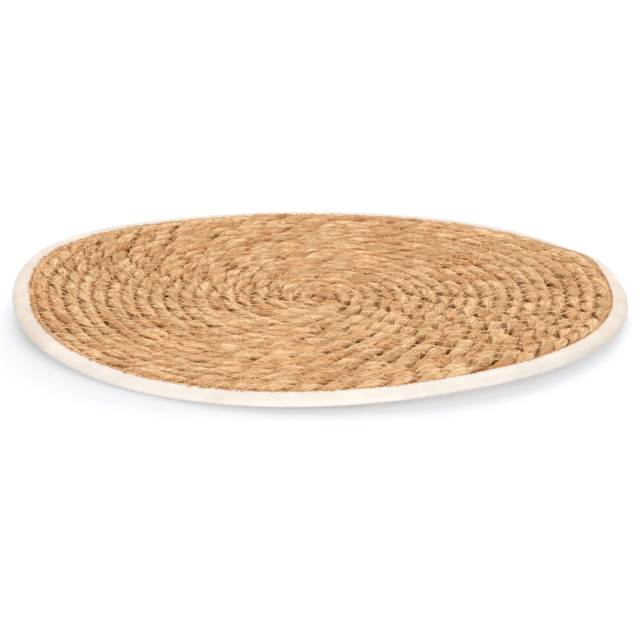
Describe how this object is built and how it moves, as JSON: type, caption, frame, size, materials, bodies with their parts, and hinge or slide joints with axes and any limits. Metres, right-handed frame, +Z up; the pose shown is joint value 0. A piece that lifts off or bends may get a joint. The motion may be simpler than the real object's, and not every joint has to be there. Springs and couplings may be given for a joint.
{
  "type": "round rope placemat",
  "caption": "Flat round placemat wound from one straw rope in a spiral, with a cotton tape folded over its rim.",
  "frame": {"origin": "on the surface that the mat lies on, under the centre of the round", "axes": "+Z up through the mat's thickness; +X to the right and +Y away from the viewer, along the mat's plane"},
  "size_m": [0.38, 0.38, 0.0162],
  "materials": {
    "straw_rope": "dry twisted plant fibre, matt",
    "cream_cotton": "plain woven cotton tape, matt"
  },
  "bodies": {
    "root": {"rope_coil": "straw_rope", "rim_binding": "cream_cotton"}
  },
  "joints": []
}
